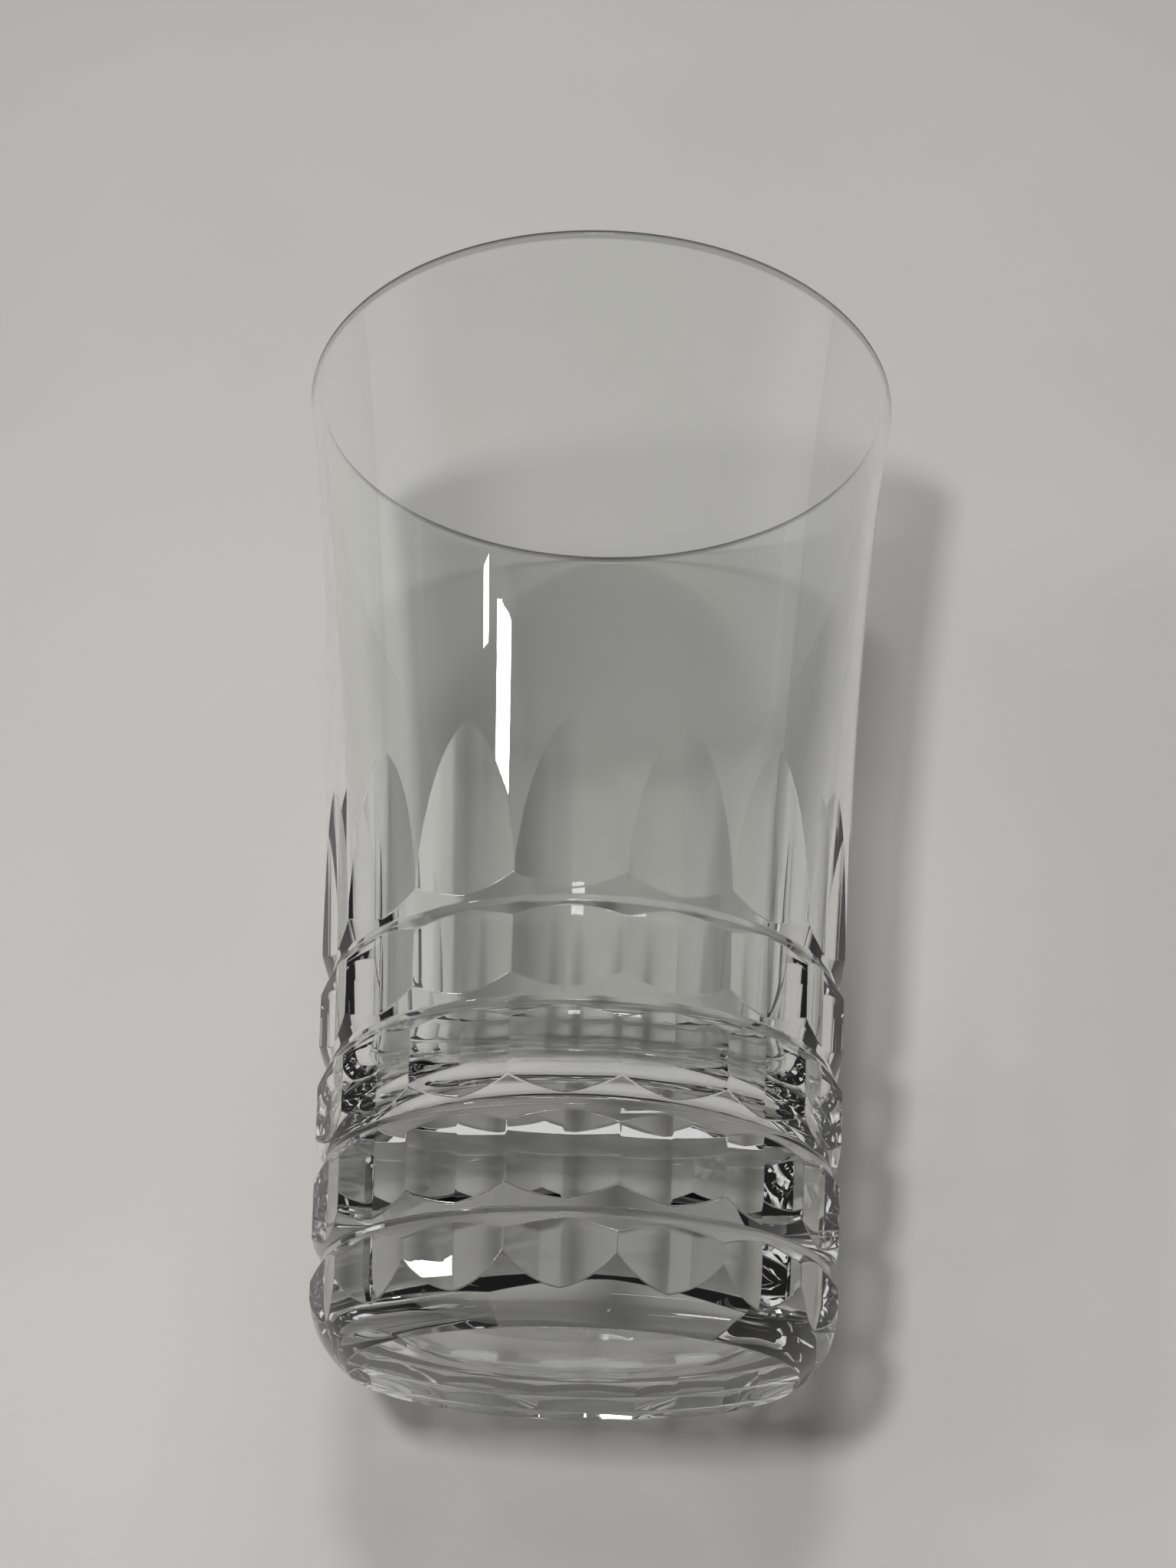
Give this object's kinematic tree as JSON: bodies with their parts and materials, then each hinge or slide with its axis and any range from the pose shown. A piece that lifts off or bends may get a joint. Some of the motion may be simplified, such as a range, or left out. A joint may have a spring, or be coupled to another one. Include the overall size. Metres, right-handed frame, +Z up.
{
  "type": "cut crystal tumbler",
  "caption": "Tall one-piece glass tumbler with a heavy base, a flared mouth, upright pointed flutes and horizontal cut rings round its lower half.",
  "frame": {"origin": "centre of the flat underside, where the tumbler stands on a surface", "axes": "+Z up along the tumbler's axis from the base to the rim, +X through the middle of one upright flute"},
  "size_m": [0.0758, 0.0758, 0.1238],
  "materials": {
    "crystal": "clear colourless crystal, polished, cuts polished sharp"
  },
  "bodies": {
    "root": {"tumbler": "crystal"}
  },
  "joints": []
}
